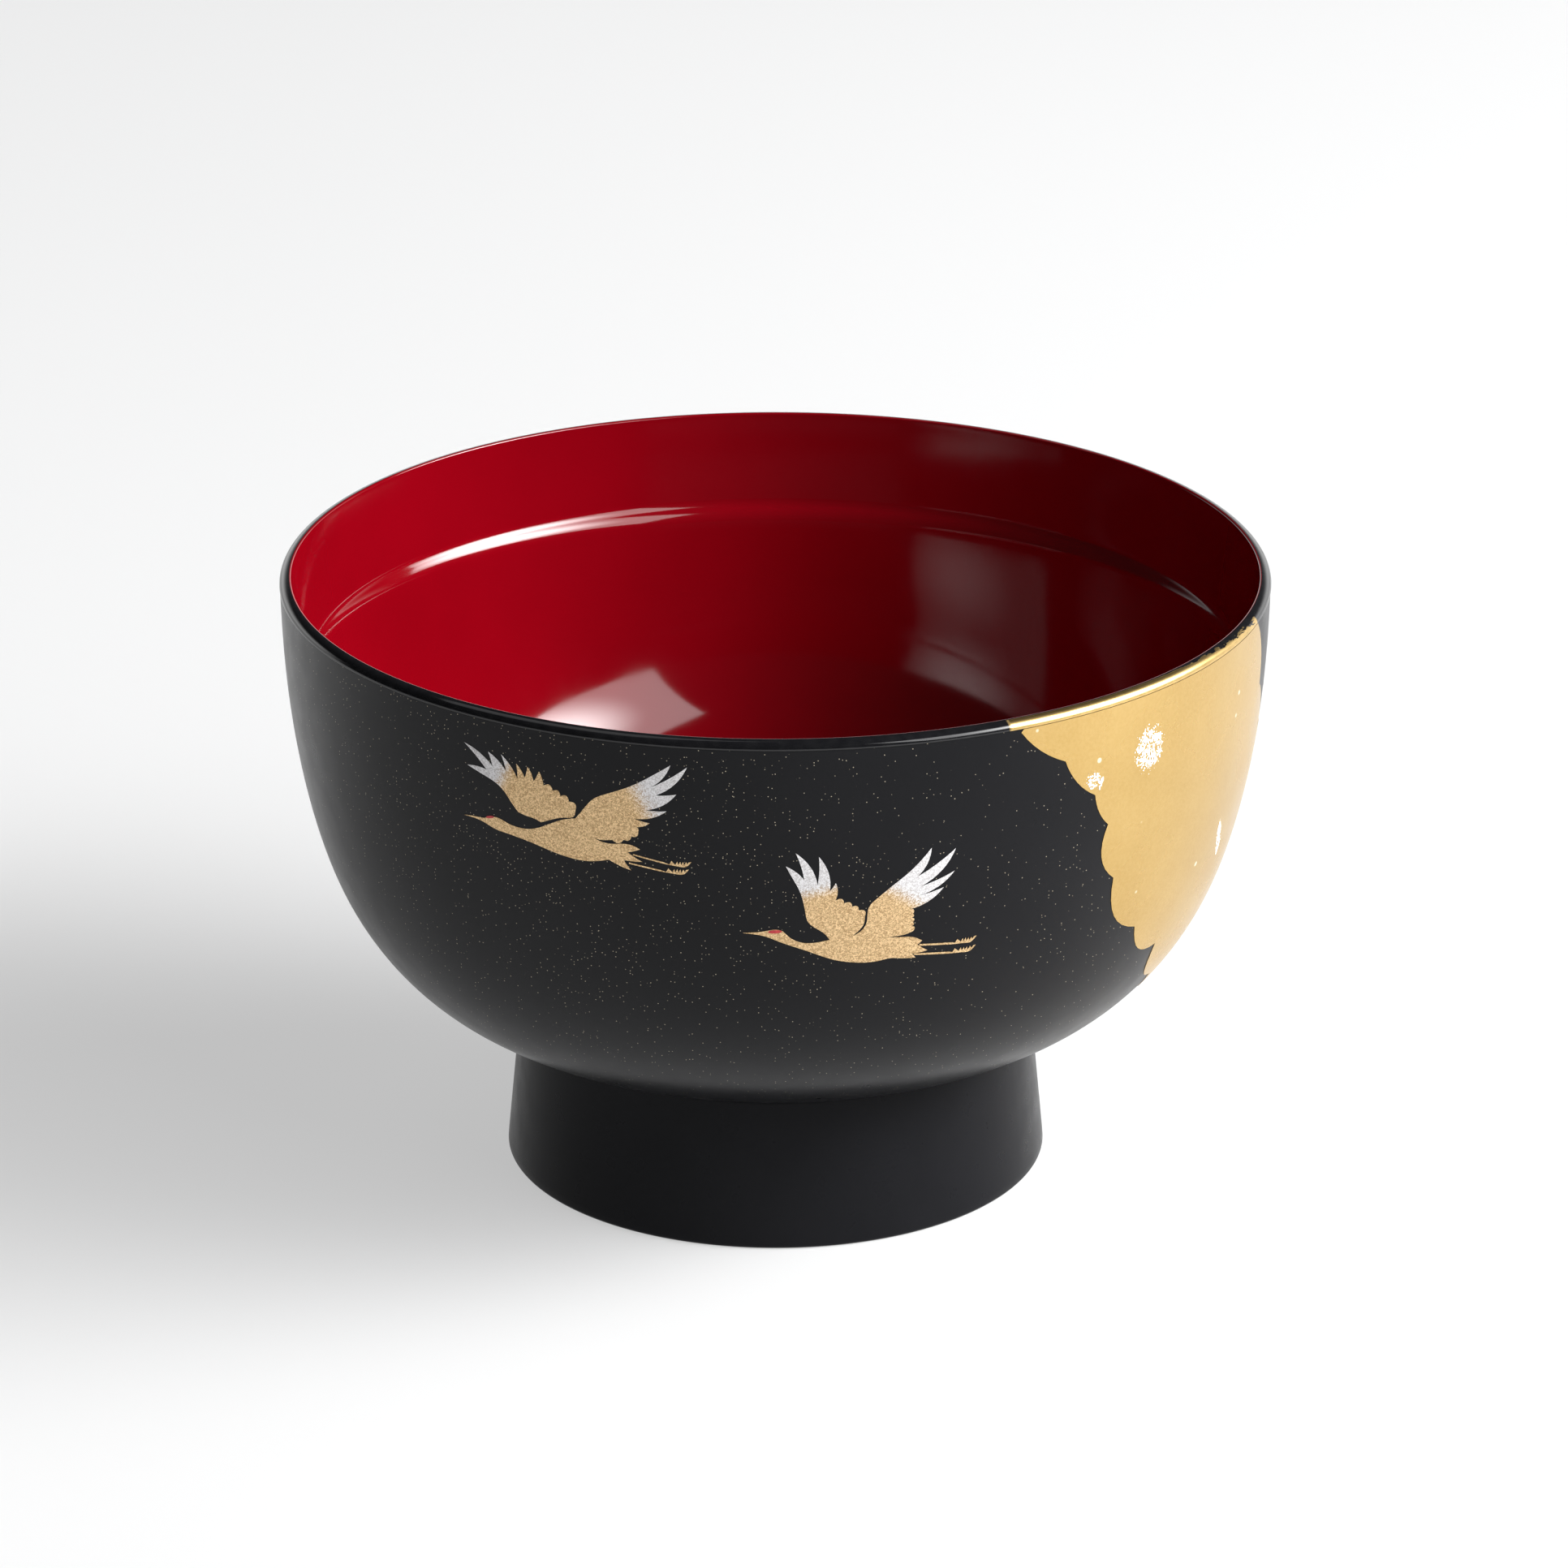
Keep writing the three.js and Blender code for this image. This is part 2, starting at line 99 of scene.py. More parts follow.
# Heights of the leaf's faces above the wall
LEAF_BOTTOM = 0.02
LEAF_TOP = 0.06
FLECK_BOTTOM = 0.065
FLECK_TOP = 0.085

# The cloud's flakes: the smallest share of a grid edge that a contour cuts off
LEAST_CUT = 0.02

# Fineness
TURNS = 288
FLOOR_SIDES = 96
TRIANGLE_ROW = math.sqrt(3) / 2
WALL_STEPS = 96
INSIDE_STEPS = 80
ARC_STEPS = 10
CURVE_STEPS = 8

# Each wall is one line of shares: 0 to 1 across, 0 to 1 up.
OUTSIDE_LINE = [
    (0, 0), (0.21, 0.04), (0.43, 0.105), (0.635, 0.21), (0.775, 0.33),
    (0.875, 0.475), (0.95, 0.66), (0.988, 0.84), (1, 1),
]
INSIDE_LINE = [
    (0, 0), (0.33, 0.012), (0.56, 0.06), (0.7, 0.135), (0.81, 0.25),
    (0.89, 0.395), (0.945, 0.58), (0.98, 0.79), (1, 1),
]


# ---- lines ----

def smooth(points, steps=None, level_start=False):
    """A smooth line through points, evenly stepped; level_start makes it leave its first point level."""
    knots = np.array(points, float)
    gaps = np.hypot(*np.diff(knots, axis=0).T)
    count = len(knots)
    matrix = np.eye(count)
    turning = np.zeros((count, 2))
    for i in range(1, count - 1):
        before, after = gaps[i - 1], gaps[i]
        matrix[i, i - 1:i + 2] = before, 2 * (before + after), after
        turning[i] = 6 * ((knots[i + 1] - knots[i]) / after - (knots[i] - knots[i - 1]) / before)
    if level_start:
        matrix[0, :2] = 2 * gaps[0], gaps[0]
        turning[0] = 6 * ((knots[1] - knots[0]) / gaps[0] - np.array([1.0, 0.0]))
    bends = np.linalg.solve(matrix, turning)
    along = np.concatenate([[0], np.cumsum(gaps)])
    places = np.linspace(0, along[-1], (steps or CURVE_STEPS * (count - 1)) + 1)
    piece = np.clip(np.searchsorted(along, places, "right") - 1, 0, count - 2)
    gap = gaps[piece][:, None]
    b = (places - along[piece])[:, None] / gap
    a = 1 - b
    straight = a * knots[piece] + b * knots[piece + 1]
    bent = (a ** 3 - a) * bends[piece] + (b ** 3 - b) * bends[piece + 1]
    return straight + bent * gap ** 2 / 6


def stretched(line, start, end, steps, level_start=False):
    """A line of shares stretched between two corners."""
    low, high = np.array(start, float), np.array(end, float)
    return smooth([low + np.array(share) * (high - low) for share in line], steps, level_start)


def directions(points):
    """The unit direction of a line at each of its points."""
    along = np.gradient(points, axis=0)
    return along / np.linalg.norm(along, axis=1)[:, None]


def moved_right(points, distance):
    """The line moved to the right of its direction."""
    along = directions(points)
    return points + distance * np.column_stack([along[:, 1], -along[:, 0]])


def arc(centre, radius, start, end, steps=ARC_STEPS, rise=None):
    """An arc. With a rise of its own it is part of an ellipse."""
    angles = np.radians(np.linspace(start, end, steps + 1))
    across, up = radius * np.cos(angles), (rise or radius) * np.sin(angles)
    return np.column_stack([centre[0] + across, centre[1] + up])


def bend(start, radius, from_angle, to_angle):
    """An arc that carries on from a point, which it leaves out."""
    angle = math.radians(from_angle)
    centre = (start[0] - radius * math.cos(angle), start[1] - radius * math.sin(angle))
    return arc(centre, radius, from_angle, to_angle)[1:]


# ---- meshes ----

def finished(name, points, faces, material, *replaced, slot=None, sharp=40):
    """A piece from points in millimetres: smooth-shaded, riding on the bowl, standing for CAD nodes."""
    mesh = bpy.data.meshes.new(name)
    mesh.from_pydata((np.array(points, float) * MM).tolist(), [], faces)
    mesh.update()
    mesh.shade_smooth()
    mesh.set_sharp_from_angle(angle=math.radians(sharp))
    mesh.materials.append(material)
    piece = bpy.data.objects.new(name, mesh)
    bpy.context.scene.collection.objects.link(piece)
    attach(piece, "root")
    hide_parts(*replaced)
    return piece


def turned(name, profile, material, *replaced, slot):
    """A solid turned about Z from a counter-clockwise profile of (radius, height)."""
    profile = np.array(profile, float)
    on_axis = profile[0][0] == 0
    rings, points = [], []
    turn = np.linspace(0, 2 * math.pi, TURNS, endpoint=False)
    for radius, height in profile:
        first = len(points)
        if radius == 0:
            points.append((0, 0, height))
            rings.append([first] * TURNS)
        else:
            points.extend(zip(radius * np.cos(turn), radius * np.sin(turn), [height] * TURNS))
            rings.append(list(range(first, first + TURNS)))
    if not on_axis:
        rings.append(rings[0])
    faces = []
    for lower, upper in zip(rings, rings[1:]):
        for i in range(TURNS):
            k = (i + 1) % TURNS
            corners = (lower[i], lower[k], upper[k], upper[i])
            faces.append(list(dict.fromkeys(corners)))
    return finished(name, points, faces, material, *replaced, slot=slot)


# ---- the walls' lines ----

outside = stretched(
    OUTSIDE_LINE, (NECK_RADIUS, FOOT_HEIGHT), (WALL_TOP_RADIUS, WALL_TOP), WALL_STEPS)
step_shoulder = bend(STEP_FOOT, SHOULDER_RADIUS, 180 - WALL_LEAN, 180 - STEP_SLOPE)
step_fillet = bend(step_shoulder[-1], FILLET_RADIUS, -STEP_SLOPE, -WALL_LEAN)
inside = np.vstack([
    stretched(INSIDE_LINE, (0, FLOOR_TOP), STEP_FOOT, INSIDE_STEPS, level_start=True),
    step_shoulder,
    step_fillet,
    np.linspace(step_fillet[-1], (LIP_INNER_RADIUS, RED_EDGE), INSIDE_STEPS // 4)[1:],
])


def into_wood(distance):
    """The inside line moved into the wood, with its first point kept on the axis."""
    moved = moved_right(inside, distance)
    moved[0] = 0, FLOOR_TOP - distance
    return moved


# ---- materials ----

def make(tree, kind, settings=None, **inputs):
    """A shader node: its settings, then its inputs by name, each a value or another node's output."""
    node = tree.nodes.new("ShaderNode" + kind)
    for key, value in (settings or {}).items():
        setattr(node, key, value)
    for key, value in inputs.items():
        connect(tree, node.inputs[key.replace("_", " ")], value)
    return node


def connect(tree, socket, value):
    """Gives a socket another node's output, or a value of its own."""
    if isinstance(value, bpy.types.NodeSocket):
        tree.links.new(value, socket)
    else:
        socket.default_value = value


def sums(tree, operation, first, second=0.0):
    """A maths node's result."""
    node = tree.nodes.new("ShaderNodeMath")
    node.operation = operation
    connect(tree, node.inputs[0], first)
    connect(tree, node.inputs[1], second)
    return node.outputs[0]


def mixed(tree, factor, first, second):
    """A mix of two colours."""
    node = tree.nodes.new("ShaderNodeMix")
    node.data_type = "RGBA"
    connect(tree, node.inputs[0], factor)
    connect(tree, node.inputs[6], first)
    connect(tree, node.inputs[7], second)
    return node.outputs[2]


def ranged(tree, value, low, high, to_low=0.0, to_high=1.0):
    """A value's place between two others, held at both ends and eased."""
    node = make(
        tree, "MapRange", {"interpolation_type": "SMOOTHSTEP"},
        Value=value, From_Min=low, From_Max=high, To_Min=to_low, To_Max=to_high)
    return node.outputs["Result"]


def noisy(tree, place, scale, detail=2.0, roughness=0.5):
    """A noise's strength at a place."""
    node = make(tree, "TexNoise", Vector=place, Scale=scale, Detail=detail, Roughness=roughness)
    return node.outputs["Fac"]


def cells(tree, place, scale):
    """Scattered points: the distance to the nearest one, and a random value of its own."""
    node = make(tree, "TexVoronoi", Vector=place, Scale=scale)
    random = make(tree, "SeparateColor", Color=node.outputs["Color"])
    return node.outputs["Distance"], random.outputs["Red"]


def bump(tree, height, strength, distance):
    """The shading normal of a fine relief."""
    node = make(tree, "Bump", Height=height, Strength=strength, Distance=distance)
    return node.outputs["Normal"]


def started(name):
    """A new material: its tree, its Principled shader and the place on the object in metres."""
    material = bpy.data.materials.new(name)
    material.use_nodes = True
    tree = material.node_tree
    shader = tree.nodes["Principled BSDF"]
    place = make(tree, "TexCoord").outputs["Object"]
    return material, tree, shader, place


def set_inputs(tree, shader, **inputs):
    """Sets a shader's inputs by name, each a value or another node's output."""
    for key, value in inputs.items():
        connect(tree, shader.inputs[key.replace("_", " ")], value)


def rgb(red, green, blue):
    """An opaque colour."""
    return (red, green, blue, 1.0)


# The gold dust: where it is densest, how far that reaches and the size of its specks, in cells
DUST_CENTRE = Vector((-0.020, -0.048, 0.064))
DUST_REACH = (0.008, 0.045)
DUST_CELLS = 2600.0
DUST_SPECK = (0.08, 0.19)
DUST_SHARE = 0.10
DUST_SHARE_NEAR = 0.34
DUST_SHARE_PATCHES = 0.16

# The gold over the lip: degrees round from the front, and metres from the axis
LIP_GOLD_START = (math.radians(26.4), math.radians(26.9))
LIP_GOLD_END = (math.radians(72.5), math.radians(72.9))
LIP_GOLD_RADIUS = (0.05654, 0.05660)
LIP_WEAR_START = (math.radians(46), math.radians(68))
LIP_WEAR_DEPTH = (0.0002, 0.0009)


def satin_black():
    """Satin lacquer with a sparse gold dust, denser round the upper crane."""
    material, tree, shader, place = started("satin_black_with_gold_dust")
    distance, chance = cells(tree, place, DUST_CELLS)
    away = make(tree, "VectorMath", {"operation": "DISTANCE"})
    connect(tree, away.inputs[0], place)
    connect(tree, away.inputs[1], DUST_CENTRE)
    near = ranged(tree, away.outputs["Value"], *DUST_REACH, DUST_SHARE_NEAR, 0.0)
    patches = ranged(tree, noisy(tree, place, 60.0), 0.35, 0.75, 0.0, DUST_SHARE_PATCHES)
    share = sums(tree, "ADD", sums(tree, "ADD", near, patches), DUST_SHARE)
    kept = sums(tree, "LESS_THAN", chance, share)
    spot = ranged(tree, distance, *DUST_SPECK, 1.0, 0.0)
    dust = sums(tree, "MULTIPLY", kept, spot)
    cloudy = ranged(tree, noisy(tree, place, 45.0, 3.0), 0.3, 0.7)
    black = mixed(tree, cloudy, rgb(0.0044, 0.0045, 0.0057), rgb(0.0058, 0.0059, 0.0073))
    set_inputs(
        tree, shader,
        Base_Color=mixed(tree, dust, black, rgb(0.50, 0.44, 0.33)),
        Metallic=sums(tree, "MULTIPLY", dust, 0.4),
        Roughness=ranged(tree, noisy(tree, place, 260.0, 3.0), 0.2, 0.8, 0.27, 0.33),
        Specular_IOR_Level=0.16,
        Normal=bump(tree, noisy(tree, place, 5200.0, 2.0), 0.06, 0.00002),
    )
    return material


def foot_black():
    """Plain satin lacquer, with the faint rings of turning."""
    material, tree, shader, place = started("satin_black_of_foot")
    rings = make(
        tree, "TexWave", {"wave_type": "BANDS", "bands_direction": "Z"},
        Vector=place, Scale=420.0, Distortion=1.5, Detail=2.0)
    cloudy = ranged(tree, noisy(tree, place, 70.0, 3.0), 0.3, 0.7)
    set_inputs(
        tree, shader,
        Base_Color=mixed(tree, cloudy, rgb(0.0066, 0.0067, 0.0080), rgb(0.0080, 0.0081, 0.0096)),
        Roughness=ranged(tree, noisy(tree, place, 300.0, 3.0), 0.2, 0.8, 0.26, 0.34),
        Specular_IOR_Level=0.08,
        Normal=bump(tree, rings.outputs["Fac"], 0.03, 0.00002),
    )
    return material


def gloss_black():
    """The lip's polished lacquer; the gold leaf is carried over its outer face, a little worn."""
    material, tree, shader, place = started("gloss_black_of_lip")
    where = make(tree, "SeparateXYZ", Vector=place)
    back = sums(tree, "MULTIPLY", where.outputs["Y"], -1.0)
    azimuth = sums(tree, "ARCTAN2", where.outputs["X"], back)
    after = ranged(tree, azimuth, *LIP_GOLD_START)
    before = ranged(tree, azimuth, *LIP_GOLD_END, 1.0, 0.0)
    flat = make(tree, "CombineXYZ", X=where.outputs["X"], Y=where.outputs["Y"])
    from_axis = make(tree, "VectorMath", {"operation": "LENGTH"})
    connect(tree, from_axis.inputs[0], flat.outputs["Vector"])
    streaks = make(tree, "Mapping", Vector=place, Scale=(1.0, 1.0, 8.0))
    streaky = noisy(tree, streaks.outputs["Vector"], 420.0, 4.0, 0.6)
    wear = ranged(tree, streaky, 0.35, 0.65, *LIP_WEAR_DEPTH)
    worn = sums(tree, "MULTIPLY", wear, ranged(tree, azimuth, *LIP_WEAR_START))
    reach = sums(tree, "SUBTRACT", from_axis.outputs["Value"], worn)
    outer = ranged(tree, reach, *LIP_GOLD_RADIUS)
    gold = sums(tree, "MULTIPLY", sums(tree, "MULTIPLY", after, before), outer)
    grain = ranged(tree, noisy(tree, place, 900.0, 3.0), 0.3, 0.7)
    black_tone = mixed(tree, grain, rgb(0.006, 0.006, 0.007), rgb(0.009, 0.009, 0.010))
    gold_tone = mixed(tree, grain, rgb(0.66, 0.45, 0.17), rgb(0.74, 0.52, 0.21))
    set_inputs(
        tree, shader,
        Base_Color=mixed(tree, gold, black_tone, gold_tone),
        Metallic=gold,
        Roughness=sums(tree, "ADD", sums(tree, "MULTIPLY", gold, 0.22), 0.09),
        Normal=bump(tree, noisy(tree, place, 300.0), 0.02, 0.00003),
    )
    return material


def gloss_red():
    """Polished vermilion lacquer, faintly clouded, with a soft orange-peel surface."""
    material, tree, shader, place = started("gloss_vermilion")
    cloudy = ranged(tree, noisy(tree, place, 40.0, 4.0), 0.3, 0.7)
    set_inputs(
        tree, shader,
        Base_Color=mixed(tree, cloudy, rgb(0.165, 0.0004, 0.0036), rgb(0.185, 0.0005, 0.0042)),
        Roughness=ranged(tree, noisy(tree, place, 180.0, 3.0), 0.2, 0.8, 0.065, 0.10),
        Normal=bump(tree, noisy(tree, place, 260.0), 0.03, 0.00004),
    )
    return material


def gold_leaf():
    """Satin gold leaf: slow clouds of tone, a fine grain and a few bright specks."""
    material, tree, shader, place = started("gold_leaf")
    slow = ranged(tree, noisy(tree, place, 55.0, 4.0, 0.55), 0.3, 0.7)
    fine = ranged(tree, noisy(tree, place, 2600.0, 2.0), 0.3, 0.7)
    distance, chance = cells(tree, place, 420.0)
    kept = sums(tree, "LESS_THAN", chance, 0.16)
    speck = sums(tree, "MULTIPLY", kept, ranged(tree, distance, 0.10, 0.17, 1.0, 0.0))
    tone = mixed(tree, slow, rgb(0.64, 0.42, 0.145), rgb(0.71, 0.48, 0.18))
    tone = mixed(tree, sums(tree, "MULTIPLY", fine, 0.12), tone, rgb(0.90, 0.68, 0.34))
    set_inputs(
        tree, shader,
        Base_Color=mixed(tree, speck, tone, rgb(0.98, 0.90, 0.66)),
        Metallic=1.0,
        Roughness=ranged(tree, noisy(tree, place, 120.0, 4.0), 0.2, 0.8, 0.22, 0.30),
        Normal=bump(tree, noisy(tree, place, 1800.0, 3.0), 0.025, 0.00003),
    )
    return material


def gold_powder():
    """Sprinkled gold powder; the attribute named silver turns it silver-white, grain by grain."""
    material, tree, shader, place = started("gold_powder")
    _, random = cells(tree, place, 8000.0)
    coarse = noisy(tree, place, 3600.0, 3.0, 0.7)
    grain = sums(
        tree, "ADD", sums(tree, "MULTIPLY", random, 0.45), sums(tree, "MULTIPLY", coarse, 0.55))
    gold = mixed(
        tree, ranged(tree, grain, 0.25, 0.78), rgb(0.44, 0.275, 0.125), rgb(0.88, 0.645, 0.36))
    silver = mixed(
        tree, ranged(tree, grain, 0.25, 0.75), rgb(0.52, 0.50, 0.50), rgb(0.82, 0.81, 0.82))
    fade = make(tree, "Attribute", {"attribute_name": "silver"}).outputs["Fac"]
    scatter = sums(tree, "MULTIPLY", sums(tree, "SUBTRACT", grain, 0.5), 0.7)
    scattered = sums(tree, "ADD", fade, scatter)
    share = ranged(tree, scattered, 0.18, 0.80)
    set_inputs(
        tree, shader,
        Base_Color=mixed(tree, share, gold, silver),
        Metallic=sums(tree, "SUBTRACT", 0.62, sums(tree, "MULTIPLY", share, 0.45)),
        Roughness=0.5,
        Normal=bump(tree, grain, 0.5, 0.00004),
    )
    return material


def pale_leaf():
    """Silver-white flakes on the gold, also used for a painted reflection: a pale streak where light is
    reflected.
    """
    material, tree, shader, place = started("pale_leaf")
    grain = ranged(tree, noisy(tree, place, 3000.0, 3.0), 0.3, 0.7)
    set_inputs(
        tree, shader,
        Base_Color=mixed(tree, grain, rgb(0.86, 0.84, 0.78), rgb(0.98, 0.97, 0.94)),
        Metallic=0.25,
        Roughness=0.42,
        Normal=bump(tree, grain, 0.3, 0.00003),
    )
    return material


def red_paint():
    """Thin matt red paint over the powder."""
    material, tree, shader, place = started("red_paint")
    grain = ranged(tree, noisy(tree, place, 2600.0, 3.0), 0.3, 0.7)
    set_inputs(
        tree, shader,
        Base_Color=mixed(tree, grain, rgb(0.42, 0.018, 0.028), rgb(0.60, 0.05, 0.05)),
        Roughness=0.5,
        Normal=bump(tree, grain, 0.25, 0.00003),
    )
    return material


def wood():
    """Turned hardwood, with rings across the bowl."""
    material, tree, shader, place = started("turned_wood")
    rings = make(
        tree, "TexWave", {"wave_type": "RINGS"},
        Vector=place, Scale=60.0, Distortion=4.0, Detail=3.0)
    set_inputs(
        tree, shader,
        Base_Color=mixed(tree, rings.outputs["Fac"], rgb(0.30, 0.18, 0.09), rgb(0.45, 0.30, 0.17)),
        Roughness=0.7,
        Normal=bump(tree, rings.outputs["Fac"], 0.2, 0.0001),
    )
    return material


def lacquer_glue():
    """Hardened lacquer glue."""
    material, tree, shader, place = started("lacquer_glue")
    cloudy = noisy(tree, place, 400.0, 3.0)
    set_inputs(
        tree, shader,
        Base_Color=mixed(tree, cloudy, rgb(0.07, 0.035, 0.015), rgb(0.12, 0.06, 0.03)),
        Roughness=0.45,
        Normal=bump(tree, cloudy, 0.2, 0.0001),
    )
    return material


SATIN_BLACK = satin_black()
FOOT_BLACK = foot_black()
GLOSS_BLACK = gloss_black()
GLOSS_RED = gloss_red()
GOLD_LEAF = gold_leaf()
GOLD_POWDER = gold_powder()
PALE_LEAF_AND_PAINTED_REFLECTION = pale_leaf()
RED_PAINT = red_paint()
WOOD = wood()
LACQUER_GLUE = lacquer_glue()


# ---- the turned pieces ----

turned(
    "outer_wall", np.vstack([outside, moved_right(outside, -COAT)[::-1]]), SATIN_BLACK,
    "outer_lacquer", slot="black_satin_lacquer")
red_back = into_wood(COAT)
turned(
    "inner_wall",
    np.vstack([red_back[:-1], arc((red_back[-1][0], RED_EDGE), COAT, 90, 180), inside[-2::-1]]),
    GLOSS_RED, "inner_lacquer", slot="red_gloss_lacquer")

core_outside = moved_right(outside, -(COAT + GAP))
core_inside = into_wood(COAT + GAP)
tongue_top = BOWL_HEIGHT - LIP_TOP_THICKNESS - GAP
turned(
    "core",
    np.vstack([
        [(0, SPIGOT_BOTTOM), (SPIGOT_RADIUS, SPIGOT_BOTTOM), (SPIGOT_RADIUS, core_outside[0][1])],
        core_outside,
        [(core_outside[-1][0], tongue_top), (core_inside[-1][0], tongue_top)],
        core_inside[-2::-1],
    ]),
    WOOD, "bowl_core", slot="turned_wood")

slot_top = BOWL_HEIGHT - LIP_TOP_THICKNESS
slot_outer = core_outside[-1][0] + GAP
crest = red_back[-1][0] + SEAM
turned(
    "lip",
    np.vstack([
        arc((RIM_RADIUS - LIP_EDGE_RADIUS, LIP_LOW.z + LIP_EDGE_RADIUS), LIP_EDGE_RADIUS, -90, 0, 3),
        arc((crest, BOWL_HEIGHT - LIP_ROUND_HEIGHT), RIM_RADIUS - crest, 0, 90, 24, LIP_ROUND_HEIGHT),
        [(crest, slot_top), (slot_outer, slot_top), (slot_outer, LIP_LOW.z)],
    ]),
    GLOSS_BLACK, "lip_lacquer", slot="black_gloss_lacquer")

foot_inner = FOOT_RADIUS - FOOT_WALL
foot_side = smooth(
    [(FOOT_RADIUS, FOOT_EDGE_RADIUS), (NECK_RADIUS - GAP, FOOT_HEIGHT)], 24)
turned(
    "foot",
    np.vstack([
        arc((foot_inner + FOOT_EDGE_RADIUS, FOOT_EDGE_RADIUS), FOOT_EDGE_RADIUS, 180, 270),
        arc((FOOT_RADIUS - FOOT_EDGE_RADIUS, FOOT_EDGE_RADIUS), FOOT_EDGE_RADIUS, 270, 350),
        foot_side[1:],
        [
            (NECK_RADIUS - COAT, FOOT_HIGH.z), (BORE_RADIUS, FOOT_HIGH.z),
            (BORE_RADIUS, WELL_LOW.z - GAP),
        ],
    ]),
    FOOT_BLACK, "foot_ring", slot="black_foot_lacquer")
turned(
    "foot_well",
    [(0, WELL_LOW.z), (WELL_RADIUS, WELL_LOW.z), (WELL_RADIUS, WELL_HIGH.z), (0, WELL_HIGH.z)],
    FOOT_BLACK, "foot_well_lacquer", slot="black_foot_lacquer")

glue_inner = SPIGOT_RADIUS + GAP
turned(
    "glue_line",
    [
        (glue_inner, SPIGOT_BOTTOM), (glue_inner + GLUE, SPIGOT_BOTTOM),
        (glue_inner + GLUE, FOOT_HIGH.z), (glue_inner, FOOT_HIGH.z),
    ],
    LACQUER_GLUE, "foot_glue_line", slot="glue")


# ---- drawn outlines: millimetres across and up, counter-clockwise seen from outside ----

def bowed(start, end, bow):
    """A bowed line between two points: it swells outwards by a share of its length."""
    a, b = np.array(start, float), np.array(end, float)
    across = np.array([b[1] - a[1], a[0] - b[0]])
    middle = (a + b) / 2 + 2 * bow * across
    t = np.linspace(0, 1, CURVE_STEPS + 1)[:, None]
    return (1 - t) ** 2 * a + 2 * t * (1 - t) * middle + t ** 2 * b


def lobes(bow, *points):
    """Lobes, one between each two points."""
    return np.vstack([bowed(a, b, bow) for a, b in zip(points, points[1:])])


def feathers(bow, *points, hollow=0.03):
    """Feathers: notch, tip, notch... The first edge of each is bowed, the second a little hollow."""
    edges = zip(points, points[1:])
    return np.vstack([bowed(a, b, -hollow if i % 2 else bow) for i, (a, b) in enumerate(edges)])


def outline_of(*stretches):
    """One closed outline from its stretches, without the repeated joints."""
    points = np.vstack([np.array(s, float) for s in stretches])
    gap = np.linalg.norm(np.roll(points, -1, axis=0) - points, axis=1)
    return points[gap > 0.01]


# ---- leaf laid on the wall ----

wall_directions = directions(outside)
WALL_OUT = np.column_stack([wall_directions[:, 1], -wall_directions[:, 0]])


def on_wall(points, place, lift):
    """Points of an outline carried on to the wall and lifted off it."""
    azimuth = math.radians(place["azimuth"]) + points[:, 0] / place["girth"]
    height = np.minimum(place["height"] + points[:, 1], WALL_TOP)
    radius = np.interp(height, outside[:, 1], outside[:, 0])
    out = np.interp(height, outside[:, 1], WALL_OUT[:, 0])
    up = np.interp(height, outside[:, 1], WALL_OUT[:, 1])
    reach = radius + lift * out
    return np.column_stack([reach * np.sin(azimuth), -reach * np.cos(azimuth), height + lift * up])


def inside_outline(points, outline, margin):
    """Which points lie inside an outline, further than margin from it."""
    x, y = points[:, :1], points[:, 1:]
    a, b = outline, np.roll(outline, -1, axis=0)
    crosses = (a[:, 1] > y) != (b[:, 1] > y)
    rise = np.where(b[:, 1] == a[:, 1], 1e-9, b[:, 1] - a[:, 1])
    left_of = x < (b[:, 0] - a[:, 0]) * (y - a[:, 1]) / rise + a[:, 0]
    within = (crosses & left_of).sum(1) % 2 == 1
    edge = b - a
    t = ((x - a[:, 0]) * edge[:, 0] + (y - a[:, 1]) * edge[:, 1]) / (edge ** 2).sum(1)
    t = np.clip(t, 0, 1)
    apart = np.hypot(x - a[:, 0] - t * edge[:, 0], y - a[:, 1] - t * edge[:, 1]).min(1)
    return within & (apart > margin)


def evened(outline, longest):
    """An outline with points added, so that no edge is longer than a limit."""
    stretches = []
    for a, b in zip(outline, np.roll(outline, -1, axis=0)):
        count = math.ceil(np.linalg.norm(b - a) / longest)
        stretches.append(a + (b - a) * np.arange(count)[:, None] / count)
    return np.vstack(stretches)


def filled(outline, cell):
    """An outline as triangles with even points inside, so that it can follow the wall."""
    outline = evened(outline, cell)
    low, high = outline.min(0), outline.max(0)
    rows = []
    for j, y in enumerate(np.arange(low[1], high[1], cell * TRIANGLE_ROW)):
        x = np.arange(low[0] + (j % 2) * cell / 2, high[0], cell)
        rows.append(np.column_stack([x, np.full(len(x), y)]))
    grid = np.vstack(rows)
    grid = grid[inside_outline(grid, outline, cell * 0.4)]
    edges = [(i, (i + 1) % len(outline)) for i in range(len(outline))]
    points = [Vector(p) for p in np.vstack([outline, grid])]
    made = delaunay_2d_cdt(points, edges, [], 1, 1e-5)
    return np.array([tuple(p) for p in made[0]]), [list(f) for f in made[2]]


